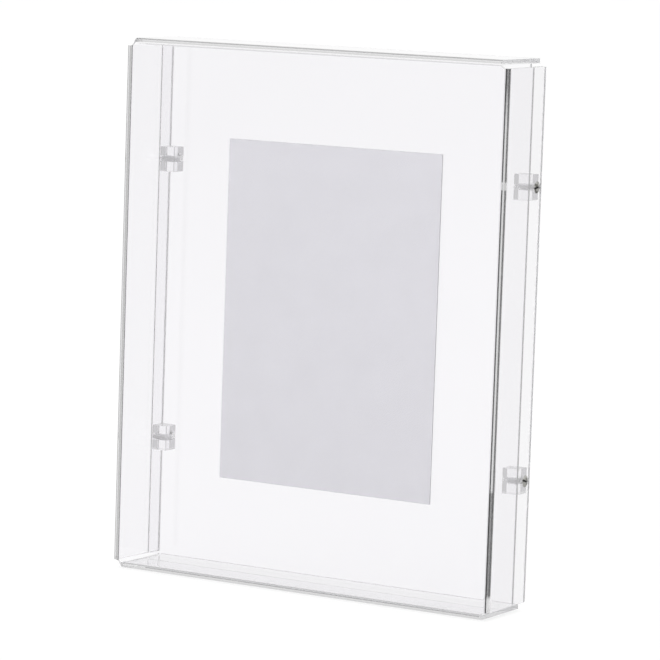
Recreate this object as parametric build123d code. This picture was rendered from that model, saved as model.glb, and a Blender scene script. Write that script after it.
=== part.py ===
from build123d import *

import os
from dataclasses import dataclass
from math import cos, radians, sqrt, tan

# Free-standing clear picture frame. A bent clear cover makes the front and four flanges. A clear panel
# inside the flanges carries the picture in front and four clip blocks behind. A screw through each side
# flange enters each block. Millimetres, +Z up, front towards -Y, origin at the middle of the base.

# Front cover: one clear sheet with its four edges bent back, the side flanges a little past square
cover_width = 226.0
cover_height = 278.5
cover_depth = 41.0
sheet_thickness = 2.5
side_flange_lean = 1.7
side_bend_radius = 0.4
end_bend_radius = 1.0
notch_width = 4.9
notch_height = 4.1
notch_corner_radius = 2.4
notch_radius_limit = 0.9

# Back panel: a flat clear sheet inside the flanges
panel_thickness = 1.5
panel_side_clearance = 0.25
panel_top_clearance = 0.1
panel_bottom_clearance = 1.8

# Picture board and the sticky pads that hold it to the panel
picture_width = 127.0
picture_height = 178.0
picture_thickness = 1.0
pad_width = 18.0
pad_height = 18.0
pad_thickness = 2.0
pad_edge_inset = 10.0
bond_gap = 0.05

# Clip blocks: clear blocks behind the panel, against the side flanges
block_width = 9.0
block_depth = 9.0
block_height = 13.0
block_edge_break = 0.3
block_rear_setback = 1.4
clip_inset_bottom = 66.4
clip_inset_top = 64.0
screw_rear_inset = 5.0

# Clip screws: slotted countersunk screws with pointed ends
screw_length = 11.0
head_diameter = 5.9
head_land = 0.25
head_rise = 0.35
crown_steps = 5
slot_width = 0.9
slot_depth = 0.9
thread_diameter = 3.2
thread_root_diameter = 2.5
thread_pitch = 0.8
thread_crest_width = 0.15
point_length = 1.6
point_flat_diameter = 0.4
screw_clearance = 0.08
point_clearance = 0.25
drill_point_angle = 118.0

# Planes that the pieces share
front_y = -cover_depth / 2
rear_y = cover_depth / 2
lean_slope = tan(radians(side_flange_lean))
wall_across = sheet_thickness / cos(radians(side_flange_lean))
block_rear_y = rear_y - block_rear_setback
block_front_y = block_rear_y - block_depth
panel_rear_y = block_front_y - bond_gap
panel_front_y = panel_rear_y - panel_thickness
pad_rear_y = panel_front_y - bond_gap
pad_front_y = pad_rear_y - pad_thickness
picture_rear_y = pad_front_y - bond_gap
block_y = (block_front_y + block_rear_y) / 2
screw_y = rear_y - screw_rear_inset
middle_z = cover_height / 2


@dataclass(frozen=True)
class Clip:
    """Where one clip sits, and how its screw's slot was left when it was tightened."""

    name: str
    side: int
    height: float
    slot_angle: float


lower_clip_z = clip_inset_bottom
upper_clip_z = cover_height - clip_inset_top
clips = (
    Clip("upper_left", -1, upper_clip_z, 25.0),
    Clip("upper_right", 1, upper_clip_z, 98.0),
    Clip("lower_left", -1, lower_clip_z, -60.0),
    Clip("lower_right", 1, lower_clip_z, 72.0),
)


def flange_outer_x(y):
    """Half the width over the side flanges' outer faces at a depth."""
    return cover_width / 2 - (y - front_y) * lean_slope


def flange_inner_x(y):
    """Half the width between the side flanges' inner faces at a depth."""
    return flange_outer_x(y) - wall_across


def corner_notch():
    """The piece cut from a corner of the sheet, with its inner corner rounded."""
    block = Rectangle(2 * notch_width, 2 * notch_height)
    radius = min(notch_corner_radius, notch_radius_limit * min(notch_width, notch_height))
    outline = fillet(block.vertices(), radius)
    return extrude(Plane.XZ * outline, cover_depth, both=True)


def tray(front, half_width_at, base, height, side_radius, end_radius):
    """A solid with leaning sides, notched corners and bent front edges, from a front plane to the rear."""
    front_x = half_width_at(front)
    rear_x = half_width_at(rear_y)
    corners = ((-front_x, front), (front_x, front), (rear_x, rear_y), (-rear_x, rear_y))
    solid = Pos(0, 0, base) * extrude(make_face(Polyline(*corners, close=True)), height)
    for side in (-1, 1):
        for corner_z in (0, cover_height):
            solid -= Pos(side * cover_width / 2, 0, corner_z) * corner_notch()
    for along, radius in ((Axis.Z, side_radius), (Axis.X, end_radius)):
        front_edges = solid.faces().sort_by(Axis.Y)[0].edges().filter_by(along)
        solid = fillet(front_edges.sort_by(SortBy.LENGTH)[-2:], radius)
    return solid


def on_side(clip, shape):
    """Turn a shape that points out along +Z so that it points out of the clip's flange, from its face."""
    place = Pos(clip.side * flange_outer_x(screw_y), screw_y, clip.height)
    return place * Rot(0, clip.side * 90, 0) * shape


def revolved(points):
    """A solid of revolution about Z, from its half outline as (radius, height) points."""
    outline = make_face(Polyline(*[(radius, 0, height) for radius, height in points], close=True))
    return revolve(outline, Axis.Z)


def screw_hole():
    """The countersunk clearance hole in a flange, along -Z from the flange's face."""
    head_radius = head_diameter / 2 + screw_clearance
    hole_radius = thread_diameter / 2 + screw_clearance
    cone_end = -head_land - (head_radius - hole_radius)
    hole_end = min(-wall_across, cone_end) - screw_clearance - lean_slope * head_radius
    return revolved(
        [
            (0, head_rise),
            (head_radius, head_rise),
            (head_radius, -head_land),
            (hole_radius, cone_end),
            (hole_radius, hole_end),
            (0, hole_end),
        ]
    )


def block_hole():
    """The blind hole in a block, with the cone that its drill leaves, along -Z from the flange's face."""
    hole_radius = thread_diameter / 2 + screw_clearance
    hole_end = -screw_length - point_clearance
    cone_length = hole_radius / tan(radians(drill_point_angle / 2))
    return revolved([(0, 0), (hole_radius, 0), (hole_radius, hole_end + cone_length), (0, hole_end)])


def make_cover():
    """The bent cover: front and flanges of one thickness, open at the back and notched at the corners."""
    outside = tray(
        front_y,
        flange_outer_x,
        0,
        cover_height,
        side_bend_radius + sheet_thickness,
        end_bend_radius + sheet_thickness,
    )
    inside_height = cover_height - 2 * sheet_thickness
    inside_front = front_y + sheet_thickness
    cover = outside - tray(
        inside_front, flange_inner_x, sheet_thickness, inside_height, side_bend_radius, end_bend_radius
    )
    for clip in clips:
        cover -= on_side(clip, screw_hole())
    return cover


def make_panel():
    """The flat panel that fills the space between the flanges."""
    width = 2 * (flange_inner_x(panel_rear_y) - panel_side_clearance)
    base_z = sheet_thickness + panel_bottom_clearance
    top_z = cover_height - sheet_thickness - panel_top_clearance
    place = Pos(0, panel_rear_y - panel_thickness / 2, (base_z + top_z) / 2)
    return place * Box(width, panel_thickness, top_z - base_z)


def make_picture():
    """The picture board, in the middle of the panel."""
    middle_y = picture_rear_y - picture_thickness / 2
    return Pos(0, middle_y, middle_z) * Box(picture_width, picture_thickness, picture_height)


def make_pad(side, level):
    """One sticky pad near a corner of the picture: side is -1 or 1 across, level is -1 or 1 up."""
    x = side * (picture_width / 2 - pad_edge_inset - pad_width / 2)
    z = middle_z + level * (picture_height / 2 - pad_edge_inset - pad_height / 2)
    return Pos(x, pad_rear_y - pad_thickness / 2, z) * Box(pad_width, pad_thickness, pad_height)


def make_block(clip):
    """One clip block with its blind hole and lightly broken long edges."""
    block = Box(block_width, block_depth, block_height)
    block = chamfer(block.edges().filter_by(Axis.Z), block_edge_break)
    x = clip.side * (flange_inner_x(block_rear_y) - bond_gap - block_width / 2)
    return Pos(x, block_y, clip.height) * block - on_side(clip, block_hole())


def crown_points():
    """Points of the head's low crown on one arc, from its middle out to its rim."""
    head_radius = head_diameter / 2
    arc_radius = (head_radius**2 + head_rise**2) / (2 * head_rise)
    radii = [head_radius * step / crown_steps for step in range(crown_steps + 1)]
    return [(radius, head_rise - arc_radius + sqrt(arc_radius**2 - radius**2)) for radius in radii]


def ridge_points(start_z, end_z):
    """Points of the thread's ridges between two heights: equal flanks, and a flat as long between them."""
    crest_radius = thread_diameter / 2
    root_radius = thread_root_diameter / 2
    flank = (thread_pitch - thread_crest_width) / 3
    points = []
    ridge_z = start_z - flank
    while ridge_z - thread_pitch > end_z:
        crest_z = ridge_z - flank
        points.append((root_radius, ridge_z))
        points.append((crest_radius, crest_z))
        points.append((crest_radius, crest_z - thread_crest_width))
        points.append((root_radius, crest_z - thread_crest_width - flank))
        ridge_z -= thread_pitch
    return points


def screw_outline():
    """Half outline of a screw, from the middle of its head's crown down to its point."""
    head_radius = head_diameter / 2
    root_radius = thread_root_diameter / 2
    neck_z = -head_land - (head_radius - root_radius)
    point_z = -screw_length + point_length
    points = crown_points()
    points.append((head_radius, -head_land))
    points.append((root_radius, neck_z))
    points.extend(ridge_points(neck_z, point_z))
    points.append((root_radius, point_z))
    points.append((point_flat_diameter / 2, -screw_length))
    points.append((0, -screw_length))
    return points


def make_screw(clip):
    """One clip screw: a low crowned head with a slot, a ridged shank and a pointed end."""
    screw = revolved(screw_outline())
    slot = Box(head_diameter + slot_width, slot_width, 2 * slot_depth)
    screw -= Pos(0, 0, head_rise) * Rot(0, 0, clip.slot_angle) * slot
    return on_side(clip, screw)


def main():
    """Make every piece and write each one under its own name."""
    pieces = {
        "front_cover": make_cover(),
        "back_panel": make_panel(),
        "picture_board": make_picture(),
    }
    for side, across in ((-1, "left"), (1, "right")):
        for level, up in ((-1, "lower"), (1, "upper")):
            pieces[f"picture_pad_{up}_{across}"] = make_pad(side, level)
    for clip in clips:
        pieces[f"clip_block_{clip.name}"] = make_block(clip)
        pieces[f"clip_screw_{clip.name}"] = make_screw(clip)
    os.makedirs("parts", exist_ok=True)
    for name, shape in pieces.items():
        export_step(shape, f"parts/{name}.step")


main()
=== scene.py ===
import logging
import math
from dataclasses import dataclass, field
from enum import Enum, IntEnum
from typing import Any, Callable, Iterable

import bmesh
import bpy
from mathutils import Matrix, Vector


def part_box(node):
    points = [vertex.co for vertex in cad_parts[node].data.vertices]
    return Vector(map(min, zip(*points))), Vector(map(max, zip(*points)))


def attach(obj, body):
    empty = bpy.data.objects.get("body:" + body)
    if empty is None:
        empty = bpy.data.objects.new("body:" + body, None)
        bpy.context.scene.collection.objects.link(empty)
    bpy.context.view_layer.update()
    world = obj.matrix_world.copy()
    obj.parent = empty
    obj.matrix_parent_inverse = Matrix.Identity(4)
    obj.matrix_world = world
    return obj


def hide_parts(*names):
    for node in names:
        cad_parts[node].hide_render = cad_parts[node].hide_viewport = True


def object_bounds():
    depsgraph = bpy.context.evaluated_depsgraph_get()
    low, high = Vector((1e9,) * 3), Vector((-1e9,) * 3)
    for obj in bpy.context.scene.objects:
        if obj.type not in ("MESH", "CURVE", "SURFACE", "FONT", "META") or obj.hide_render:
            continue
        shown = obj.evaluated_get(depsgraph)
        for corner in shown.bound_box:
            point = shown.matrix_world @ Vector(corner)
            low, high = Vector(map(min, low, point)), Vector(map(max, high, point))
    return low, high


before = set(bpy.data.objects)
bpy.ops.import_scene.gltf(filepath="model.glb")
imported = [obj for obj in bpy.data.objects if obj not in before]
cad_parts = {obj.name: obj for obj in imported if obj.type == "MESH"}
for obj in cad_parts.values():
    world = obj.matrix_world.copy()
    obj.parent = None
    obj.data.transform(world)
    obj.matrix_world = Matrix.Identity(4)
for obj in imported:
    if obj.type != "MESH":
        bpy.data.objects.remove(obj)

CAD_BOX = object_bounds()
MM = 0.001
LOG = logging.getLogger("clear_frame")

Range = tuple[float, float]
Triple = tuple[float, float, float]
Colour = Triple
Node = bpy.types.Node
Socket = bpy.types.NodeSocket
Shape = bmesh.types.BMesh
Face = bmesh.types.BMFace
FaceRule = Callable[[Face], int]

WHITE: Colour = (1.0, 1.0, 1.0)
FALLING: Range = (1.0, 0.0)

# How near a plane a face counts as lying on it, and the share of a normal that faces along an axis
TOUCH_MM = 0.05
FACING = 0.99


class Side(Enum):
    """Left or right, seen from the front."""

    LEFT = "left"
    RIGHT = "right"


class Level(Enum):
    """Upper or lower row of clips and pads."""

    UPPER = "upper"
    LOWER = "lower"


class Mark(Enum):
    """Names of the shared surface effects."""

    HANDLING = "handling_marks"
    SAWING = "saw_marks"
    FIBRE = "paper_fibre"
    # Painted shade: dark lines painted along the cover's bends, standing in for the shade that refraction
    # in the bent sheet makes
    BENDING = "bend_lines"


class BendRun(Enum):
    """The cover's four bends, each with the axis across it and the way out along that axis."""

    LEFT = ("X", -1.0)
    RIGHT = ("X", 1.0)
    TOP = ("Z", 1.0)
    BOTTOM = ("Z", -1.0)


class CoverFinish(IntEnum):
    """Finishes of the cover's faces, in the order of its materials."""

    SHEET = 0
    CUT_EDGE = 1
    NOTCH = 2
    BASE = 3
    TOP = 4


class PanelFinish(IntEnum):
    """Finishes of the panel's faces, in the order of its materials."""

    SHEET = 0
    CUT_EDGE = 1


class BoardFinish(IntEnum):
    """Finishes of the picture board's faces, in the order of its materials."""

    PRINT = 0
    CORE = 1
    BACK = 2


class BlockFinish(IntEnum):
    """Finishes of a clip block's faces, in the order of its materials."""

    POLISHED = 0
    SAWN = 1
    DRILLED = 2


PLACES = tuple(f"{level.value}_{side.value}" for level in Level for side in Side)


def metres(start_mm: float, end_mm: float) -> Range:
    """A range in metres, from its ends in millimetres."""
    return start_mm * MM, end_mm * MM


def shaded(colour: Colour, share: float) -> Colour:
    """A darker shade of a colour."""
    red, green, blue = colour
    return share * red, share * green, share * blue


class NodeBench:
    """Short calls for adding and joining nodes in one node tree."""

    # Places of a Mix node's colour sockets, because their names repeat
    MIX_FACTOR, MIX_FIRST, MIX_SECOND, MIX_RESULT = 0, 6, 7, 2

    def __init__(self, tree: bpy.types.NodeTree) -> None:
        """Empty a tree and work on it."""
        self.tree = tree
        self.tree.nodes.clear()

    def add(self, kind: str, **settings: Any) -> Node:
        """Add a node.

        Args:
            kind: The node's Blender type.
            settings: Node properties to set by name.

        Returns:
            The new node.
        """
        node = self.tree.nodes.new(kind)
        for name, value in settings.items():
            setattr(node, name, value)
        return node

    def join(self, value: Any, socket: Socket) -> None:
        """Give an input its value.

        Args:
            value: An output socket, which is linked, or a constant, which is set.
            socket: The input.
        """
        if isinstance(value, Socket):
            self.tree.links.new(value, socket)
        else:
            socket.default_value = value

    def feed(self, node: Node, **sockets: Any) -> Node:
        """Give a node's inputs their values.

        Args:
            node: The node to feed.
            sockets: Input names, with underscores for spaces, and either an output socket or a constant.

        Returns:
            The same node.
        """
        for name, value in sockets.items():
            self.join(value, node.inputs[name.replace("_", " ")])
        return node

    def maths(self, operation: str, *values: Any) -> Socket:
        """Add a Math node.

        Args:
            operation: The Math node's operation.
            values: Its inputs in order, as sockets or constants.

        Returns:
            The result's socket.
        """
        node = self.add("ShaderNodeMath", operation=operation)
        for value, socket in zip(values, node.inputs):
            self.join(value, socket)
        return node.outputs["Value"]

    def away(self, value: Socket, centre: Any) -> Socket:
        """How far a value is from a centre."""
        return self.maths("ABSOLUTE", self.maths("SUBTRACT", value, centre))

    def remainder(self, share: Socket) -> Socket:
        """What a share leaves of 1."""
        return self.maths("SUBTRACT", 1.0, share)

    def at_least(self, value: Socket, count: int) -> Socket:
        """1 where a whole number has reached a count, and 0 before."""
        return self.maths("GREATER_THAN", value, count - 0.5)

    def length(self, first: Socket, second: Socket) -> Socket:
        """Length of a line with two square components."""
        squares = [self.maths("MULTIPLY", value, value) for value in (first, second)]
        return self.maths("SQRT", self.maths("ADD", *squares))

    def split(self, vector: Socket) -> Node:
        """Split a coordinate into X, Y and Z."""
        return self.feed(self.add("ShaderNodeSeparateXYZ"), Vector=vector)

    def stretch(self, vector: Socket, scale: Triple, turn: Triple = (0.0, 0.0, 0.0)) -> Socket:
        """Scale and turn a coordinate.

        Args:
            vector: The coordinate to change.
            scale: Factor along each axis.
            turn: Turn about each axis in radians, after the scale.

        Returns:
            The changed coordinate's socket.
        """
        node = self.add("ShaderNodeMapping")
        self.feed(node, Vector=vector, Scale=scale, Rotation=turn)
        return node.outputs["Vector"]

    def noise(self, vector: Socket, scale: Any, detail: float) -> Socket:
        """Add a noise texture.

        Args:
            vector: The coordinate to read.
            scale: How fine the noise is, as a constant or a socket.
            detail: How many octaves it has.

        Returns:
            The noise value's socket.
        """
        node = self.add("ShaderNodeTexNoise")
        self.feed(node, Vector=vector, Scale=scale, Detail=detail)
        return node.outputs["Fac"]

    def spread(self, value: Socket, read: Range, give: Range = (0.0, 1.0)) -> Socket:
        """Map one range of a value to another, clamped.

        Args:
            value: The value to map.
            read: Start and end of the range read.
            give: Results at its start and end.

        Returns:
            The mapped value's socket.
        """
        node = self.add("ShaderNodeMapRange")
        self.feed(node, Value=value, From_Min=read[0], From_Max=read[1], To_Min=give[0], To_Max=give[1])
        return node.outputs["Result"]

    def blend(self, factor: Any, first: Any, second: Any) -> Socket:
        """Mix two colours.

        Args:
            factor: Share of the second colour.
            first: First colour, as a socket or three numbers.
            second: Second colour, as a socket or three numbers.

        Returns:
            The mixed colour's socket.
        """
        node = self.add("ShaderNodeMix", data_type="RGBA")
        self.join(factor, node.inputs[self.MIX_FACTOR])
        for place, colour in ((self.MIX_FIRST, first), (self.MIX_SECOND, second)):
            self.join(colour if isinstance(colour, Socket) else (*colour, 1.0), node.inputs[place])
        return node.outputs[self.MIX_RESULT]

    def bump(self, height: Socket, strength: float, depth_mm: float) -> Socket:
        """Turn a height into a normal.

        Args:
            height: The height's socket.
            strength: How strongly it shows.
            depth_mm: The height's depth in millimetres.

        Returns:
            The normal's socket.
        """
        node = self.add("ShaderNodeBump")
        self.feed(node, Height=height, Strength=strength, Distance=depth_mm * MM)
        return node.outputs["Normal"]

    def mix_shaders(self, factor: Socket, first: Socket, second: Socket) -> Socket:
        """Mix two shaders.

        Args:
            factor: Share of the second shader.
            first: First shader's socket.
            second: Second shader's socket.

        Returns:
            The mixed shader's socket.
        """
        node = self.feed(self.add("ShaderNodeMixShader"), Fac=factor)
        for place, shader in enumerate((first, second), start=1):
            self.join(shader, node.inputs[place])
        return node.outputs["Shader"]


@dataclass
class SurfaceMarks:
    """Shared effects, each built once as a node group and placed in the finishes that use it."""

    smear_range: Range = (0.52, 0.75)
    scratch_range: Range = (0.74, 0.78)
    scratch_stretch: Triple = (60.0, 60.0, 2.5)
    scratch_turn: Triple = (0.3, 0.5, 0.2)
    wave_stretch: Triple = (0.4, 0.4, 0.12)
    saw_wander: float = 2.5
    fibre_stretch: Triple = (1.0, 1.0, 0.35)
    cross_stretch: Triple = (0.3, 1.0, 1.0)
    mottle_stretch: Triple = (0.03, 0.03, 0.03)
    bend_root_mm: Range = (0.05, 0.15)
    bend_skin_mm: Range = (-0.6, -0.4)
    bend_fade: Range = (0.7, 1.3)
    groups: dict[Mark, bpy.types.NodeTree] = field(init=False)

    def __post_init__(self) -> None:
        """Build every group."""
        self.groups = {
            Mark.HANDLING: self._handling(),
            Mark.SAWING: self._sawing(),
            Mark.FIBRE: self._fibre(),
            Mark.BENDING: self._bending(),
        }

    def place(self, bench: NodeBench, mark: Mark, **inputs: Any) -> Node:
        """Place one effect in a material, with values for its inputs."""
        node = bench.add("ShaderNodeGroup", node_tree=self.groups[mark])
        return bench.feed(node, **inputs)

    @staticmethod
    def _new(mark: Mark, inputs: Iterable[str], outputs: Iterable[str]) -> tuple[NodeBench, Node, Node]:
        """Start a group.

        Args:
            mark: The group's name.
            inputs: Value inputs beside Vector.
            outputs: Value outputs.

        Returns:
            The group's bench, its input node and its output node.
        """
        tree = bpy.data.node_groups.new(mark.value, "ShaderNodeTree")
        tree.interface.new_socket("Vector", in_out="INPUT", socket_type="NodeSocketVector")
        for name in inputs:
            tree.interface.new_socket(name, in_out="INPUT", socket_type="NodeSocketFloat")
        for name in outputs:
            tree.interface.new_socket(name, in_out="OUTPUT", socket_type="NodeSocketFloat")
        bench = NodeBench(tree)
        return bench, bench.add("NodeGroupInput"), bench.add("NodeGroupOutput")

    def _handling(self) -> bpy.types.NodeTree:
        """Make soft smears, hair-fine wiping scratches and the slow wave of a polished sheet.

        Returns:
            The group.
        """
        bench, source, result = self._new(Mark.HANDLING, ["Scale"], ["Smear", "Scratch", "Wave"])
        vector, scale = source.outputs["Vector"], source.outputs["Scale"]
        cloud = bench.noise(vector, scale, detail=4.0)
        slanted = bench.stretch(vector, self.scratch_stretch, self.scratch_turn)
        lines = bench.noise(slanted, scale, detail=1.0)
        wave = bench.noise(bench.stretch(vector, self.wave_stretch), scale, detail=0.0)
        bench.feed(result, Smear=bench.spread(cloud, self.smear_range))
        bench.feed(result, Scratch=bench.spread(lines, self.scratch_range), Wave=wave)
        return bench.tree

    def _sawing(self) -> bpy.types.NodeTree:
        """Make the fine uneven slanting lines and the grain that a saw leaves.

        Returns:
            The group.
        """
        bench, source, result = self._new(Mark.SAWING, ["Scale"], ["Line", "Grain"])
        vector, scale = source.outputs["Vector"], source.outputs["Scale"]
        wave = bench.add("ShaderNodeTexWave", bands_direction="DIAGONAL", wave_profile="SAW")
        bench.feed(wave, Vector=vector, Scale=scale, Distortion=self.saw_wander, Detail=2.0)
        grain = bench.noise(vector, scale, detail=2.0)
        bench.feed(result, Line=wave.outputs["Fac"], Grain=grain)
        return bench.tree

    def _fibre(self) -> bpy.types.NodeTree:
        """Make the felted fibres and slow mottling of card.

        Returns:
            The group.
        """
        bench, source, result = self._new(Mark.FIBRE, ["Scale"], ["Fibre", "Mottle"])
        vector, scale = source.outputs["Vector"], source.outputs["Scale"]
        along = bench.noise(bench.stretch(vector, self.fibre_stretch), scale, detail=5.0)
        cross = bench.noise(bench.stretch(vector, self.cross_stretch), scale, detail=5.0)
        mottle = bench.noise(bench.stretch(vector, self.mottle_stretch), scale, detail=3.0)
        felt = bench.maths("MULTIPLY", bench.maths("ADD", along, cross), 0.5)
        bench.feed(result, Fibre=felt, Mottle=mottle)
        return bench.tree

    def _bending(self) -> bpy.types.NodeTree:
        """Make the painted lines of shade along a bend's inner and outer curve, in a section through the
        bend.

        Returns:
            The group.
        """
        sizes = ["Across", "Depth", "Centre Across", "Centre Depth", "Inner Radius", "Outer Radius"]
        angles = ["Turn", "Width", "Inner From"]
        bench, source, result = self._new(Mark.BENDING, [*sizes, *angles], ["Inner", "Outer"])
        across = bench.maths("SUBTRACT", source.outputs["Across"], source.outputs["Centre Across"])
        ahead = bench.maths("SUBTRACT", source.outputs["Centre Depth"], source.outputs["Depth"])
        reach = bench.length(across, ahead)
        turn = bench.maths("ARCTAN2", across, ahead)
        off_root = bench.away(reach, source.outputs["Inner Radius"])
        root = bench.spread(off_root, metres(*self.bend_root_mm), FALLING)
        past = bench.maths("GREATER_THAN", turn, source.outputs["Inner From"])
        inner = bench.maths("MULTIPLY", root, past)
        off = bench.maths("DIVIDE", bench.away(turn, source.outputs["Turn"]), source.outputs["Width"])
        depth = bench.maths("SUBTRACT", reach, source.outputs["Outer Radius"])
        skin = bench.spread(depth, metres(*self.bend_skin_mm))
        outer = bench.maths("MULTIPLY", bench.spread(off, self.bend_fade, FALLING), skin)
        bench.feed(result, Inner=inner, Outer=outer)
        return bench.tree


class Finish:
    """A material with a Principled surface, ready for a finish to shape."""

    def __init__(self, name: str) -> None:
        """Start the material.

        Args:
            name: The material's name.
        """
        self.material = bpy.data.materials.new(name)
        self.material.use_nodes = True
        self.bench = NodeBench(self.material.node_tree)
        self.output = self.bench.add("ShaderNodeOutputMaterial")
        self.surface = self.bench.add("ShaderNodeBsdfPrincipled")
        self.bench.feed(self.output, Surface=self.surface.outputs["BSDF"])
        self.place = self.bench.add("ShaderNodeTexCoord").outputs["Object"]


@dataclass(frozen=True)
class Bend:
    """One bend of the cover in section: its arc centre and its two radii."""

    run: BendRun
    centre_across_mm: float
    centre_depth_mm: float
    inner_radius_mm: float
    outer_radius_mm: float


@dataclass(frozen=True)
class PaintedBendShade:
    """A painted line of shade along a bend, on its outer curve at a turn from the front, on its inner
    curve, or on both.
    """

    bend: Bend
    turn_degrees: float = 45.0
    width_degrees: float = 10.0
    outer_share: float = 0.0
    inner_share: float = 0.0
    inner_from_degrees: float = -180.0
    from_mm: float = -math.inf
    up_to_mm: float = math.inf
    fade_mm: float = 2.0
    # Heights where the painted shade is paled: a painted reflection of a clip block in the bend
    painted_reflection_at_mm: tuple[float, ...] = ()
    pale_half_mm: float = 1.6
    pale_fade_mm: float = 0.6
    pale_share: float = 0.4

    def mask(self, bench: NodeBench, marks: SurfaceMarks, place: Socket) -> Socket:
        """Place the line in a material.

        Args:
            bench: The material's node bench.
            marks: The shared surface effects.
            place: The object coordinate.

        Returns:
            A socket that says how dark the painted shade is.
        """
        parts = bench.split(place)
        axis, way = self.bend.run.value
        lines = marks.place(
            bench,
            Mark.BENDING,
            Across=bench.maths("MULTIPLY", parts.outputs[axis], way),
            Depth=parts.outputs["Y"],
            Centre_Across=self.bend.centre_across_mm * MM,
            Centre_Depth=self.bend.centre_depth_mm * MM,
            Inner_Radius=self.bend.inner_radius_mm * MM,
            Outer_Radius=self.bend.outer_radius_mm * MM,
            Turn=math.radians(self.turn_degrees),
            Width=math.radians(self.width_degrees),
            Inner_From=math.radians(self.inner_from_degrees),
        )
        inner = bench.maths("MULTIPLY", lines.outputs["Inner"], self.inner_share)
        outer = bench.maths("MULTIPLY", lines.outputs["Outer"], self.outer_share)
        line = bench.maths("MAXIMUM", inner, outer)
        height = parts.outputs["Z"]
        for end_mm, fade_mm in ((self.from_mm, self.fade_mm), (self.up_to_mm, -self.fade_mm)):
            if math.isfinite(end_mm):
                kept = bench.spread(height, metres(end_mm, end_mm + fade_mm))
                line = bench.maths("MULTIPLY", line, kept)
        # Pale the painted shade near those heights, as a painted reflection of the clip blocks
        pale_mm = metres(self.pale_half_mm, self.pale_half_mm + self.pale_fade_mm)
        for height_mm in self.painted_reflection_at_mm:
            kept = bench.spread(bench.away(height, height_mm * MM), pale_mm, (self.pale_share, 1.0))
            line = bench.maths("MULTIPLY", line, kept)
        return line


@dataclass(frozen=True)
class ClearAcrylic:
    """Clear acrylic, polished or with its cut faces left satin, with painted lines of shade along the
    bends it is given.
    """

    name: str
    tint: Colour = (0.985, 0.981, 0.992)
    roughness: Range = (0.004, 0.03)
    handling_scale: float = 18.0
    smear_shade: float = 0.995
    wear_range: Range = (0.0, 2.0)
    wave_strength: float = 0.2
    wave_depth_mm: float = 0.02
    saw_scale: float = 900.0
    saw_strength: float = 0.35
    saw_depth_mm: float = 0.0
    grain_range: Range = (0.3, 0.7)
    clearness: float = 1.0
    refraction: float = 1.49
    shadow_tint: Colour = (0.94, 0.94, 0.945)
    runs_inside: int = 9
    turns_inside: int = 2
    bends: tuple[PaintedBendShade, ...] = ()
    # Near-black colour of the painted lines of shade along the bends
    bend_shade_colour: Colour = (0.012, 0.012, 0.013)

    def material(self, marks: SurfaceMarks) -> bpy.types.Material:
        """Build the finish.

        Args:
            marks: The shared surface effects.

        Returns:
            The material.
        """
        finish = Finish(self.name)
        bench = finish.bench
        handling = marks.place(bench, Mark.HANDLING, Vector=finish.place, Scale=self.handling_scale)
        smear = handling.outputs["Smear"]
        if self.saw_depth_mm:
            sawn = marks.place(bench, Mark.SAWING, Vector=finish.place, Scale=self.saw_scale)
            height = bench.maths("ADD", sawn.outputs["Line"], sawn.outputs["Grain"])
            rough = bench.spread(sawn.outputs["Grain"], self.grain_range, self.roughness)
            normal = bench.bump(height, self.saw_strength, self.saw_depth_mm)
        else:
            wear = bench.maths("ADD", smear, handling.outputs["Scratch"])
            rough = bench.spread(wear, self.wear_range, self.roughness)
            normal = bench.bump(handling.outputs["Wave"], self.wave_strength, self.wave_depth_mm)
        colour = bench.blend(smear, self.tint, shaded(self.tint, self.smear_shade))
        # Paint the lines of shade along the bends into the base colour
        for bend in self.bends:
            colour = bench.blend(bend.mask(bench, marks, finish.place), colour, self.bend_shade_colour)
        bench.feed(finish.surface, Base_Color=colour, Roughness=rough, Normal=normal)
        bench.feed(finish.surface, IOR=self.refraction, Transmission_Weight=self.clearness)
        self._let_light_out(finish)
        return finish.material

    def _let_light_out(self, finish: Finish) -> None:
        """Let lamps shine through, and let light out that has run back and forth inside the sheet.

        Args:
            finish: The finish to change.
        """
        bench = finish.bench
        path = bench.add("ShaderNodeLightPath")
        shadow = path.outputs["Is Shadow Ray"]
        run_out = bench.at_least(path.outputs["Ray Depth"], self.runs_inside)
        turned = bench.at_least(path.outputs["Glossy Depth"], self.turns_inside)
        leaving = bench.maths("MAXIMUM", shadow, bench.maths("MAXIMUM", run_out, turned))
        pale = bench.blend(shadow, WHITE, self.shadow_tint)
        through = bench.feed(bench.add("ShaderNodeBsdfTransparent"), Color=pale)
        both = bench.mix_shaders(leaving, finish.surface.outputs["BSDF"], through.outputs["BSDF"])
        bench.feed(finish.output, Surface=both)


@dataclass(frozen=True)
class Card:
    """Matt card or paper with fibres and mottling."""

    name: str
    colour: Colour
    shade: float = 0.96
    speckle_range: Range = (0.7, 1.3)
    roughness: float = 0.62
    roughness_swing: float = 0.08
    fibre_scale: float = 2600.0
    fibre_range: Range = (0.3, 0.7)
    fibre_strength: float = 0.25
    fibre_depth_mm: float = 0.02

    def material(self, marks: SurfaceMarks) -> bpy.types.Material:
        """Build the finish.

        Args:
            marks: The shared surface effects.

        Returns:
            The material.
        """
        finish = Finish(self.name)
        bench = finish.bench
        felt = marks.place(bench, Mark.FIBRE, Vector=finish.place, Scale=self.fibre_scale)
        fibre = felt.outputs["Fibre"]
        speckle = bench.spread(bench.maths("ADD", fibre, felt.outputs["Mottle"]), self.speckle_range)
        colour = bench.blend(speckle, shaded(self.colour, self.shade), self.colour)
        swing = (self.roughness - self.roughness_swing, self.roughness + self.roughness_swing)
        rough = bench.spread(fibre, self.fibre_range, swing)
        normal = bench.bump(fibre, self.fibre_strength, self.fibre_depth_mm)
        bench.feed(finish.surface, Base_Color=colour, Roughness=rough, Normal=normal)
        return finish.material


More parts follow.
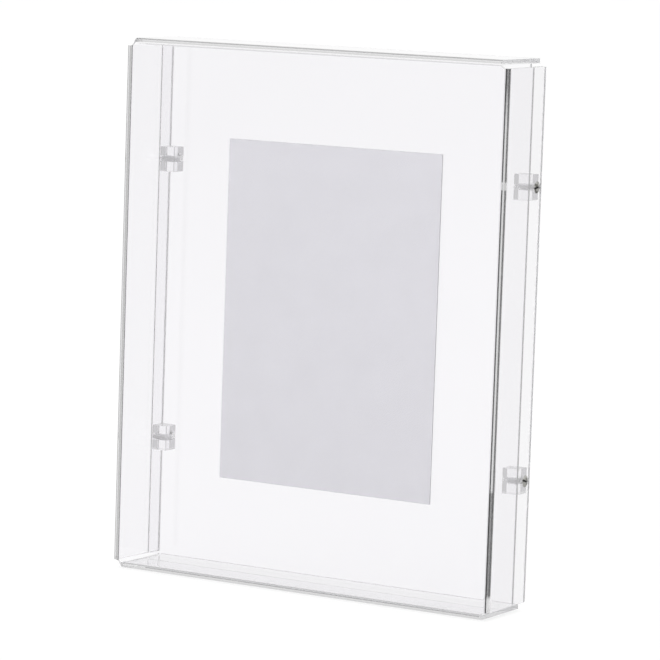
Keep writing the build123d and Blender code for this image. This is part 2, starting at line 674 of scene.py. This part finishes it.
@dataclass(frozen=True)
class Foam:
    """White closed-cell foam of a sticky pad."""

    name: str = "pad_foam"
    colour: Colour = (0.84, 0.84, 0.82)
    cell_shade: float = 0.86
    cell_scale: float = 2200.0
    cell_range: Range = (0.0, 0.6)
    cell_strength: float = 0.4
    cell_depth_mm: float = 0.06
    roughness: Range = (0.7, 0.9)

    def material(self) -> bpy.types.Material:
        """Build the finish.

        Returns:
            The material.
        """
        finish = Finish(self.name)
        bench = finish.bench
        cells = bench.add("ShaderNodeTexVoronoi")
        bench.feed(cells, Vector=finish.place, Scale=self.cell_scale)
        wall = bench.spread(cells.outputs["Distance"], self.cell_range)
        colour = bench.blend(wall, shaded(self.colour, self.cell_shade), self.colour)
        rough = bench.spread(wall, (0.0, 1.0), self.roughness)
        normal = bench.bump(wall, self.cell_strength, self.cell_depth_mm)
        bench.feed(finish.surface, Base_Color=colour, Roughness=rough, Normal=normal)
        return finish.material


@dataclass(frozen=True)
class TurnedSteel:
    """Plain steel with the rings that turning leaves round one axis along X, and a tarnished head."""

    name: str
    head_middle: Triple
    slot_degrees: float
    colour: Colour = (0.7, 0.69, 0.67)
    tarnish_shade: float = 0.85
    tarnish_scale: float = 520.0
    tarnish_range: Range = (0.3, 0.7)
    stain_range: Range = (0.46, 0.6)
    stain_colour: Colour = (0.17, 0.17, 0.155)
    head_colour: Colour = (0.55, 0.545, 0.52)
    head_reach_mm: float = 1.3
    head_fade_mm: float = 0.78
    slot_colour: Colour = (0.045, 0.045, 0.045)
    slot_half_mm: float = 0.47
    slot_fade_mm: float = 0.05
    roughness: Range = (0.2, 0.36)
    rings_per_metre: float = 1500.0
    ring_roughness: float = 0.03
    ring_strength: float = 0.12
    ring_depth_mm: float = 0.01

    def material(self) -> bpy.types.Material:
        """Build the finish.

        Returns:
            The material.
        """
        finish = Finish(self.name)
        bench = finish.bench
        parts = bench.split(finish.place)
        x, y, z = self.head_middle
        across = bench.maths("SUBTRACT", parts.outputs["Y"], y)
        up = bench.maths("SUBTRACT", parts.outputs["Z"], z)
        turns = bench.maths("MULTIPLY", bench.length(across, up), self.rings_per_metre * math.tau)
        rings = bench.maths("SINE", turns)
        head_mm = metres(self.head_reach_mm, self.head_reach_mm + self.head_fade_mm)
        head = bench.spread(bench.away(parts.outputs["X"], x), head_mm, FALLING)
        tarnish = bench.noise(finish.place, self.tarnish_scale, detail=3.0)
        stain = bench.spread(tarnish, self.stain_range)
        bare = bench.blend(stain, self.colour, shaded(self.colour, self.tarnish_shade))
        worn = bench.blend(stain, self.head_colour, self.stain_colour)
        slotted = bench.blend(self._slot(bench, across, up), worn, self.slot_colour)
        colour = bench.blend(head, bare, slotted)
        dull = bench.spread(tarnish, self.tarnish_range, self.roughness)
        rough = bench.maths("ADD", dull, bench.maths("MULTIPLY", rings, self.ring_roughness))
        normal = bench.bump(rings, self.ring_strength, self.ring_depth_mm)
        bench.feed(finish.surface, Base_Color=colour, Roughness=rough, Metallic=1.0, Normal=normal)
        return finish.material

    def _slot(self, bench: NodeBench, across: Socket, up: Socket) -> Socket:
        """Find the slot across the head.

        Args:
            bench: The material's node bench.
            across: Distance from the screw's axis along Y.
            up: Distance from the screw's axis along Z.

        Returns:
            A socket that is 1 in the slot, which is painted nearly black.
        """
        turn = math.radians(self.slot_degrees)
        shift = bench.maths("MULTIPLY", across, -math.sin(turn))
        rise = bench.maths("MULTIPLY", up, math.cos(turn))
        off = bench.maths("ABSOLUTE", bench.maths("ADD", shift, rise))
        return bench.spread(off, metres(self.slot_half_mm, self.slot_half_mm + self.slot_fade_mm), FALLING)


class Workshop:
    """Turns CAD copies and bmesh shapes into finished pieces."""

    # Corners of a CAD node's triangles that are nearer than this are one corner
    MERGE_MM = 0.0005

    @staticmethod
    def corners(node: str) -> tuple[Vector, Vector]:
        """Lowest and highest corner of a CAD node."""
        low, high = (Vector(corner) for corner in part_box(node))
        return low, high

    @staticmethod
    def copy_of(node: str) -> Shape:
        """Copy a CAD node's mesh with its loose triangles merged.

        Args:
            node: The CAD node's name.
        """
        shape = bmesh.new()
        shape.from_mesh(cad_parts[node].data)
        bmesh.ops.remove_doubles(shape, verts=shape.verts, dist=Workshop.MERGE_MM * MM)
        for face in shape.faces:
            face.smooth = False
        shape.normal_update()
        return shape

    @staticmethod
    def block_in(node: str) -> Shape:
        """Make a plain block that fills a CAD node's box.

        Args:
            node: The CAD node's name.
        """
        low, high = Workshop.corners(node)
        shape = bmesh.new()
        bmesh.ops.create_cube(shape, size=1.0)
        bmesh.ops.scale(shape, vec=high - low, verts=shape.verts)
        bmesh.ops.translate(shape, vec=(low + high) / 2, verts=shape.verts)
        shape.normal_update()
        return shape

    @staticmethod
    def soften(shape: Shape, edges: Iterable[bmesh.types.BMEdge], width_mm: float, segments: int) -> None:
        """Round some edges of a shape.

        Args:
            shape: The shape to change.
            edges: The edges to round.
            width_mm: How far the rounding reaches from each edge.
            segments: How many faces make the rounding.
        """
        bmesh.ops.bevel(
            shape,
            geom=list(edges),
            offset=width_mm * MM,
            offset_type="OFFSET",
            segments=segments,
            profile=0.5,
            affect="EDGES",
            material=-1,
            clamp_overlap=True,
        )
        shape.normal_update()

    @staticmethod
    def finish(
        shape: Shape,
        name: str,
        node: str,
        slot: str,
        materials: Iterable[bpy.types.Material],
        rule: FaceRule,
    ) -> bpy.types.Object:
        """Make a shape a piece that stands for a CAD node.

        Args:
            shape: The shape, which is freed.
            name: The piece's name.
            node: The CAD node that it replaces.
            slot: Not used.
            materials: Its materials in order.
            rule: Gives each face its material's number.

        Returns:
            The piece, riding on the root body.
        """
        for face in shape.faces:
            face.material_index = rule(face)
        mesh = bpy.data.meshes.new(name)
        shape.to_mesh(mesh)
        shape.free()
        for material in materials:
            mesh.materials.append(material)
        piece = bpy.data.objects.new(name, mesh)
        bpy.context.scene.collection.objects.link(piece)
        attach(piece, "root")
        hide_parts(node)
        LOG.info("made %s with %d faces", name, len(mesh.polygons))
        return piece


@dataclass
class BentCover:
    """The bent clear cover, polished on its faces and satin where it was cut or drilled, with painted
    shade on those cut faces and painted lines of shade along its bends.
    """

    sheet_mm: float = 2.5
    side_bend_mm: float = 0.4
    end_bend_mm: float = 1.0
    notch_width_mm: float = 4.9
    notch_height_mm: float = 4.1
    line_foot_mm: float = 11.0
    lower_line_mm: float = 66.0
    upper_line_mm: float = 246.0
    upper_fade_mm: float = 20.0
    # Height of the upper clip, where a painted reflection pales the painted lines of shade
    painted_reflection_gap_mm: float = 216.8
    wall_facing: float = 0.9
    upright: float = 0.001
    low: Vector = field(init=False)
    high: Vector = field(init=False)

    def __post_init__(self) -> None:
        """Find the cover's place."""
        self.low, self.high = Workshop.corners("front_cover")

    def build(self, marks: SurfaceMarks) -> bpy.types.Object:
        """Make the cover.

        Args:
            marks: The shared surface effects.

        Returns:
            The piece.
        """
        shape = Workshop.copy_of("front_cover")
        materials = self._materials(marks)
        return Workshop.finish(
            shape, "bent_cover", "front_cover", "cover_acrylic", materials, self._finish_of
        )

    def _bend(self, run: BendRun) -> Bend:
        """Place one bend from the cover's box.

        Args:
            run: Which bend.

        Returns:
            The bend.
        """
        axis, way = run.value
        inner_mm = self.side_bend_mm if axis == "X" else self.end_bend_mm
        outer_mm = inner_mm + self.sheet_mm
        corner = self.high if way > 0.0 else self.low
        edge_mm = way * corner["XYZ".index(axis)] / MM
        return Bend(run, edge_mm - outer_mm, self.low.y / MM + outer_mm, inner_mm, outer_mm)

    def _painted_shade_lines(self) -> tuple[PaintedBendShade, ...]:
        """Paint the dark lines of shade that run along the bends.

        Returns:
            The painted lines of shade, the two finest at the right with a paler gap beside the upper clip,
            a painted reflection of the clip block.
        """
        left, right, top, bottom = (self._bend(run) for run in BendRun)
        gap_mm = (self.painted_reflection_gap_mm,)
        # Broad bands of painted shade along the right bend, low down and near the top
        ends = (
            {"from_mm": self.line_foot_mm, "up_to_mm": self.lower_line_mm},
            {"from_mm": self.upper_line_mm, "fade_mm": self.upper_fade_mm},
        )
        broad_right_shade = [
            PaintedBendShade(right, turn_degrees=45.0, width_degrees=22.0, outer_share=0.85, **end) for end in ends
        ]
        # Painted lines of shade along the left, right, top and bottom bends
        return (
            PaintedBendShade(left, turn_degrees=63.0, width_degrees=11.0, outer_share=0.86, inner_share=0.9),
            PaintedBendShade(left, turn_degrees=40.0, width_degrees=8.0, outer_share=0.9),
            PaintedBendShade(left, turn_degrees=0.0, width_degrees=14.0, outer_share=0.55),
            PaintedBendShade(right, inner_share=1.0, inner_from_degrees=4.0, painted_reflection_at_mm=gap_mm),
            PaintedBendShade(
                right,
                turn_degrees=68.0,
                width_degrees=13.0,
                outer_share=0.95,
                from_mm=self.line_foot_mm,
                painted_reflection_at_mm=gap_mm,
            ),
            PaintedBendShade(right, turn_degrees=38.0, width_degrees=26.0, outer_share=0.25),
            *broad_right_shade,
            PaintedBendShade(top, turn_degrees=82.0, width_degrees=30.0, outer_share=0.85),
            PaintedBendShade(top, turn_degrees=37.0, width_degrees=9.0, outer_share=0.5),
            PaintedBendShade(bottom, turn_degrees=50.0, width_degrees=18.0, outer_share=0.15),
        )

    def _materials(self, marks: SurfaceMarks) -> list[bpy.types.Material]:
        """Build the cover's finishes.

        Args:
            marks: The shared surface effects.

        Returns:
            The materials, in the order of CoverFinish.
        """
        bends = self._painted_shade_lines()
        finishes = (
            ClearAcrylic("cover_sheet", bends=bends),
            ClearAcrylic(
                "cover_cut_edge_painted_shade",
                # Dark grey tint: painted shade on the cut edges and screw holes, which darkens the lines
                # seen through the sheet
                tint=(0.46, 0.46, 0.47),
                roughness=(0.1, 0.3),
                saw_depth_mm=0.03,
                clearness=0.6,
            ),
            ClearAcrylic(
                "cover_notch_edge",
                tint=(0.8, 0.8, 0.81),
                roughness=(0.08, 0.2),
                saw_depth_mm=0.01,
                clearness=0.72,
            ),
            ClearAcrylic("cover_base", roughness=(0.05, 0.12)),
            ClearAcrylic("cover_top", turns_inside=1, bends=bends),
        )
        return [finish.material(marks) for finish in finishes]

    def _finish_of(self, face: Face) -> CoverFinish:
        """Choose the finish of one face.

        Args:
            face: The face.

        Returns:
            Satin with painted shade at rear edges and in screw holes, finer in notches, scuffed at the
            base, bright on top.
        """
        middle = face.calc_center_median()
        from_end_mm = min(middle.z - self.low.z, self.high.z - middle.z) / MM
        from_side_mm = (self.high.x - abs(middle.x)) / MM
        from_front_mm = (middle.y - self.low.y) / MM
        from_rear_mm = (self.high.y - middle.y) / MM
        near_end = from_end_mm < self.notch_height_mm + TOUCH_MM
        near_corner = near_end and from_side_mm < self.notch_width_mm + TOUCH_MM
        across_wall = abs(face.normal.x) < self.wall_facing
        drilled = across_wall and from_front_mm > 2 * self.sheet_mm and not near_end
        if from_rear_mm < TOUCH_MM or drilled:
            return CoverFinish.CUT_EDGE
        if abs(face.normal.y) < self.upright and near_corner:
            return CoverFinish.NOTCH
        if abs(face.normal.z) > FACING and (middle.z - self.low.z) / MM < self.sheet_mm + TOUCH_MM:
            return CoverFinish.BASE
        top_mm = self.sheet_mm + self.end_bend_mm + TOUCH_MM
        return CoverFinish.TOP if (self.high.z - middle.z) / MM < top_mm else CoverFinish.SHEET


@dataclass
class ClearPanel:
    """The flat clear panel with lightly scraped edges, satin at its sawn sides, which carry painted shade.
    """

    scrape_mm: float = 0.15
    side_facing: float = 0.2

    def build(self, marks: SurfaceMarks) -> bpy.types.Object:
        """Make the panel.

        Args:
            marks: The shared surface effects.

        Returns:
            The piece.
        """
        finishes = (
            ClearAcrylic("panel_sheet"),
            ClearAcrylic(
                "panel_cut_edge_painted_shade",
                # Dark grey tint: painted shade on the sawn sides, which darkens the line seen at the
                # panel's edge
                tint=(0.42, 0.42, 0.43),
                roughness=(0.05, 0.15),
                saw_depth_mm=0.01,
                clearness=0.6,
            ),
        )
        materials = [finish.material(marks) for finish in finishes]
        shape = Workshop.block_in("back_panel")
        Workshop.soften(shape, shape.edges, self.scrape_mm, segments=2)
        return Workshop.finish(
            shape, "clear_panel", "back_panel", "panel_acrylic", materials, self._finish_of
        )

    def _finish_of(self, face: Face) -> PanelFinish:
        """Satin with painted shade at the sides, polished elsewhere."""
        return PanelFinish.CUT_EDGE if abs(face.normal.x) > self.side_facing else PanelFinish.SHEET


@dataclass
class PictureMount:
    """The picture board with its print, and the foam pads that hold it to the panel."""

    arris_mm: float = 0.18
    print_colour: Colour = (0.755, 0.75, 0.78)
    core_colour: Colour = (0.74, 0.735, 0.76)
    back_colour: Colour = (0.7, 0.69, 0.68)
    pad_corner_mm: float = 2.5
    pad_pinch: float = 0.98

    def build(self, marks: SurfaceMarks) -> list[bpy.types.Object]:
        """Make the board and its pads.

        Args:
            marks: The shared surface effects.

        Returns:
            The pieces.
        """
        foam = Foam().material()
        pads = [self._pad(f"picture_pad_{place}", foam) for place in PLACES]
        return [self._board(marks), *pads]

    def _board(self, marks: SurfaceMarks) -> bpy.types.Object:
        """Make the board.

        Args:
            marks: The shared surface effects.

        Returns:
            The piece.
        """
        finishes = (
            Card("picture_print", self.print_colour, roughness=0.5, fibre_depth_mm=0.01),
            Card("board_core", self.core_colour, shade=0.88, fibre_depth_mm=0.05),
            Card("board_back", self.back_colour, shade=0.9),
        )
        materials = [finish.material(marks) for finish in finishes]
        shape = Workshop.block_in("picture_board")
        Workshop.soften(shape, shape.edges, self.arris_mm, segments=2)
        return Workshop.finish(
            shape, "mounted_picture", "picture_board", "picture_card", materials, self._finish_of
        )

    @staticmethod
    def _finish_of(face: Face) -> BoardFinish:
        """Choose the finish of one of the board's faces.

        Args:
            face: The face.

        Returns:
            Print on the front, backing behind, core at the edges.
        """
        if face.normal.y < -FACING:
            return BoardFinish.PRINT
        return BoardFinish.BACK if face.normal.y > FACING else BoardFinish.CORE

    @staticmethod
    def _through(shape: Shape) -> list[bmesh.types.BMEdge]:
        """Edges of a pad that run from its front to its back."""
        runs = ((edge, edge.verts[1].co - edge.verts[0].co) for edge in shape.edges)
        return [edge for edge, run in runs if abs(run.y) > TOUCH_MM * MM]

    def _pad(self, node: str, foam: bpy.types.Material) -> bpy.types.Object:
        """Make one foam pad with round corners and sides that draw in a little.

        Args:
            node: The pad's CAD node.
            foam: Its material.

        Returns:
            The piece.
        """
        shape = Workshop.block_in(node)
        Workshop.soften(shape, self._through(shape), self.pad_corner_mm, segments=6)
        cut = bmesh.ops.subdivide_edges(shape, edges=self._through(shape), cuts=1, use_grid_fill=False)
        waist = [part for part in cut["geom_inner"] if isinstance(part, bmesh.types.BMVert)]
        low, high = Workshop.corners(node)
        centre = Matrix.Translation(-(low + high) / 2)
        bmesh.ops.scale(shape, vec=(self.pad_pinch, 1.0, self.pad_pinch), space=centre, verts=waist)
        shape.normal_update()
        pad = Workshop.finish(shape, f"foam_{node}", node, "sticky_pad", [foam], lambda face: 0)
        return pad


@dataclass
class ClipSet:
    """The clear clip blocks and the steel screws that enter them, with the way that each slot points."""

    drill_inset_mm: float = 0.5
    slot_degrees: dict[str, float] = field(
        default_factory=lambda: {
            "upper_left": 65.0,
            "upper_right": 8.0,
            "lower_left": -30.0,
            "lower_right": -18.0,
        }
    )

    def build(self, marks: SurfaceMarks) -> list[bpy.types.Object]:
        """Make the blocks and dress the screws.

        Args:
            marks: The shared surface effects.

        Returns:
            The blocks.
        """
        finishes = (
            ClearAcrylic("block_face", tint=(0.95, 0.946, 0.955)),
            ClearAcrylic("block_sawn_end", roughness=(0.12, 0.3), saw_depth_mm=0.03),
            ClearAcrylic(
                "block_hole",
                tint=(0.93, 0.93, 0.94),
                roughness=(0.3, 0.5),
                saw_depth_mm=0.02,
                clearness=0.55,
            ),
        )
        materials = [finish.material(marks) for finish in finishes]
        blocks = []
        for place in PLACES:
            blocks.append(self._block(place, materials))
            self._dress_screw(place)
        return blocks

    def _block(self, place: str, materials: list[bpy.types.Material]) -> bpy.types.Object:
        """Make one block.

        Args:
            place: The block's place, such as upper_left.
            materials: The materials, in the order of BlockFinish.

        Returns:
            The piece.
        """
        node = f"clip_block_{place}"
        low, high = Workshop.corners(node)

        def finish_of(face: Face) -> BlockFinish:
            """Choose the finish of one face by its place in the block's box."""
            return self._finish_of(face, low, high)

        shape = Workshop.copy_of(node)
        return Workshop.finish(shape, f"clear_{node}", node, "block_acrylic", materials, finish_of)

    def _finish_of(self, face: Face, low: Vector, high: Vector) -> BlockFinish:
        """Choose the finish of one of a block's faces.

        Args:
            face: The face.
            low: The block's lowest corner.
            high: The block's highest corner.

        Returns:
            Sawn at the ends, drilled inside, polished elsewhere.
        """
        middle = face.calc_center_median()
        inset_mm = [min(middle[axis] - low[axis], high[axis] - middle[axis]) / MM for axis in range(3)]
        from_side_mm, from_face_mm, from_end_mm = inset_mm
        if abs(face.normal.z) > FACING and from_end_mm < TOUCH_MM:
            return BlockFinish.SAWN
        deep = min(from_face_mm, from_end_mm) > self.drill_inset_mm
        return BlockFinish.DRILLED if deep and from_side_mm > TOUCH_MM else BlockFinish.POLISHED

    def _dress_screw(self, place: str) -> None:
        """Give one screw its turned steel.

        Args:
            place: The screw's place, such as upper_left.
        """
        node = f"clip_screw_{place}"
        low, high = Workshop.corners(node)
        middle = (low + high) / 2
        head_x = high.x if middle.x > 0.0 else low.x
        head_middle = (head_x, middle.y, middle.z)
        steel = TurnedSteel(f"screw_steel_{place}", head_middle, self.slot_degrees[place]).material()
        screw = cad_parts[node]
        for part in screw.material_slots:
            part.material = steel
        LOG.info("dressed %s", node)


@dataclass(frozen=True)
class Viewpoint:
    """The camera that the photograph's edges give."""

    image_pixels: float = 660.0
    focal_pixels: float = 3755.8
    sensor_mm: float = 36.0
    yaw_degrees: float = 31.067
    pitch_degrees: float = 6.775
    roll_degrees: float = 1.95
    target_mm: Triple = (16.24, -20.5, 137.37)
    distance_mm: float = 1897.2
    near_m: float = 0.01
    far_m: float = 50.0

    def build(self) -> bpy.types.Object:
        """Place the camera.

        Returns:
            The camera.
        """
        angles = (self.yaw_degrees, self.pitch_degrees, self.roll_degrees)
        yaw, pitch, roll = (math.radians(angle) for angle in angles)
        up = Vector((0.0, 0.0, 1.0))
        ahead = Vector((-math.sin(yaw), math.cos(yaw), 0.0))
        right = Vector((math.cos(yaw), math.sin(yaw), 0.0))
        look = ahead * math.cos(pitch) - up * math.sin(pitch)
        raised = up * math.cos(pitch) + ahead * math.sin(pitch)
        across = right * math.cos(roll) + raised * math.sin(roll)
        upright = raised * math.cos(roll) - right * math.sin(roll)
        place = (Vector(self.target_mm) - look * self.distance_mm) * MM
        lens = bpy.data.cameras.new("photo_camera")
        lens.sensor_width = self.sensor_mm
        lens.lens = self.focal_pixels * self.sensor_mm / self.image_pixels
        lens.clip_start = self.near_m
        lens.clip_end = self.far_m
        camera = bpy.data.objects.new("photo_camera", lens)
        axes = Matrix((across, upright, -look)).transposed()
        camera.matrix_world = Matrix.Translation(place) @ axes.to_4x4()
        bpy.context.scene.collection.objects.link(camera)
        bpy.context.scene.camera = camera
        return camera


@dataclass(frozen=True)
class Softbox:
    """One large lamp, aimed at the middle of the frame."""

    name: str
    place_m: Triple
    size_m: float
    power_w: float

    def build(self, target: Vector) -> None:
        """Hang the lamp.

        Args:
            target: The point that it is aimed at.
        """
        lamp = bpy.data.lights.new(self.name, "AREA")
        lamp.size = self.size_m
        lamp.energy = self.power_w
        holder = bpy.data.objects.new(self.name, lamp)
        holder.location = self.place_m
        holder.rotation_euler = (target - Vector(self.place_m)).to_track_quat("-Z", "Y").to_euler()
        holder.visible_camera = False
        holder.visible_transmission = False
        holder.visible_glossy = False
        bpy.context.scene.collection.objects.link(holder)


@dataclass(frozen=True)
class Studio:
    """White floor and surround, soft lamps and plain colour."""

    floor_size_m: float = 60.0
    floor_gap_mm: float = 0.3
    floor_colour: Colour = (0.85, 0.85, 0.85)
    floor_glow: float = 0.88
    floor_white: float = 1.028
    floor_mirrored: float = 0.55
    surround_light: float = 1.0
    surround_mirrored: float = 0.97
    mirrored_twice: float = 0.76
    contact_shade: float = 0.1
    contact_soft_mm: float = 4.0
    lamps: tuple[Softbox, ...] = (
        Softbox("overhead_softbox", (-0.3, -0.4, 1.6), size_m=1.4, power_w=4.5),
        Softbox("front_softbox", (0.5, -2.6, 0.6), size_m=1.4, power_w=34.5),
        Softbox("back_softbox", (0.8, 2.4, 0.9), size_m=1.2, power_w=9.0),
    )

    def build(self) -> None:
        """Set up the surround, the floor and the lamps."""
        scene = bpy.context.scene
        scene.view_settings.view_transform = "Standard"
        self._surround(scene)
        self._floor(scene)
        low, high = (Vector(corner) for corner in CAD_BOX)
        for lamp in self.lamps:
            lamp.build((low + high) / 2)

    def _level(self, bench: NodeBench, mirrored: float) -> tuple[Socket, Socket]:
        """Work out how bright the white is for each ray.

        Args:
            bench: The tree to add to.
            mirrored: How bright it is for rays that were mirrored once on the way.

        Returns:
            A socket that is 1 for rays that were never mirrored, the level given for one mirroring and
            a shared level after more, and a socket that is 1 for rays that look at the white.
        """
        path = bench.add("ShaderNodeLightPath")
        looks = [path.outputs[f"Is {kind} Ray"] for kind in ("Camera", "Transmission", "Glossy")]
        looking = bench.maths("MAXIMUM", bench.maths("MAXIMUM", looks[0], looks[1]), looks[2])
        scattered = bench.at_least(path.outputs["Diffuse Depth"], 1)
        looking = bench.maths("MULTIPLY", looking, bench.remainder(scattered))
        once = bench.spread(bench.at_least(path.outputs["Glossy Depth"], 1), (0.0, 1.0), (1.0, mirrored))
        twice = bench.at_least(path.outputs["Glossy Depth"], 2)
        change = bench.maths("MULTIPLY", twice, self.mirrored_twice - mirrored)
        return bench.maths("ADD", once, change), looking

    def _surround(self, scene: bpy.types.Scene) -> None:
        """Make a surround that is white to the eye, dimmer in reflections and a plain light on the object.

        Args:
            scene: The scene to light.
        """
        world = bpy.data.worlds.new("white_surround")
        world.use_nodes = True
        bench = NodeBench(world.node_tree)
        seen, looking = self._level(bench, self.surround_mirrored)
        given = bench.maths("MULTIPLY", bench.remainder(looking), self.surround_light)
        level = bench.maths("ADD", bench.maths("MULTIPLY", seen, looking), given)
        back = bench.feed(bench.add("ShaderNodeBackground"), Color=(*WHITE, 1.0), Strength=level)
        bench.feed(bench.add("ShaderNodeOutputWorld"), Surface=back.outputs["Background"])
        scene.world = world

    def _contact(self, bench: NodeBench) -> Socket:
        """Shade the floor right under the object.

        Args:
            bench: The floor's node bench.

        Returns:
            A socket that is 1 on the open floor and less under the object.
        """
        low, high = CAD_BOX
        parts = bench.split(bench.add("ShaderNodeTexCoord").outputs["Object"])
        inside = []
        for axis, name in enumerate("XY"):
            off = bench.away(parts.outputs[name], (low[axis] + high[axis]) / 2)
            half = (high[axis] - low[axis]) / 2
            inside.append(bench.spread(off, (half - self.contact_soft_mm * MM, half), FALLING))
        shade = bench.maths("MULTIPLY", bench.maths("MULTIPLY", *inside), self.contact_shade)
        return bench.remainder(shade)

    def _floor(self, scene: bpy.types.Scene) -> None:
        """Lay a pale floor that glows up to white and keeps the object's shadow.

        Args:
            scene: The scene to add to.
        """
        shape = bmesh.new()
        bmesh.ops.create_grid(shape, x_segments=1, y_segments=1, size=self.floor_size_m / 2)
        bmesh.ops.translate(shape, vec=(0.0, 0.0, -self.floor_gap_mm * MM), verts=shape.verts)
        mesh = bpy.data.meshes.new("floor")
        shape.to_mesh(mesh)
        shape.free()
        floor = bpy.data.objects.new("floor", mesh)
        scene.collection.objects.link(floor)
        mesh.materials.append(self._floor_white())

    def _floor_white(self) -> bpy.types.Material:
        """Build the floor's finish.

        Returns:
            The material.
        """
        material = bpy.data.materials.new("floor_white")
        material.use_nodes = True
        bench = NodeBench(material.node_tree)
        seen, looking = self._level(bench, self.floor_mirrored)
        matt = bench.feed(bench.add("ShaderNodeBsdfDiffuse"), Color=(*self.floor_colour, 1.0))
        white = bench.maths("MULTIPLY", seen, self.floor_white)
        glow = bench.maths("MULTIPLY", white, self._contact(bench))
        shine = bench.feed(bench.add("ShaderNodeEmission"), Strength=glow)
        share = bench.maths("MULTIPLY", looking, self.floor_glow)
        both = bench.mix_shaders(share, matt.outputs["BSDF"], shine.outputs["Emission"])
        bench.feed(bench.add("ShaderNodeOutputMaterial"), Surface=both)
        return material


def main() -> None:
    """Build every sub-assembly, then the studio."""
    logging.basicConfig(level=logging.INFO, format="%(name)s: %(message)s")
    marks = SurfaceMarks()
    pieces = [BentCover().build(marks), ClearPanel().build(marks)]
    pieces += PictureMount().build(marks)
    pieces += ClipSet().build(marks)
    Studio().build()
    Viewpoint().build()
    LOG.info("%d pieces", len(pieces))


if __name__ == "__main__":
    main()
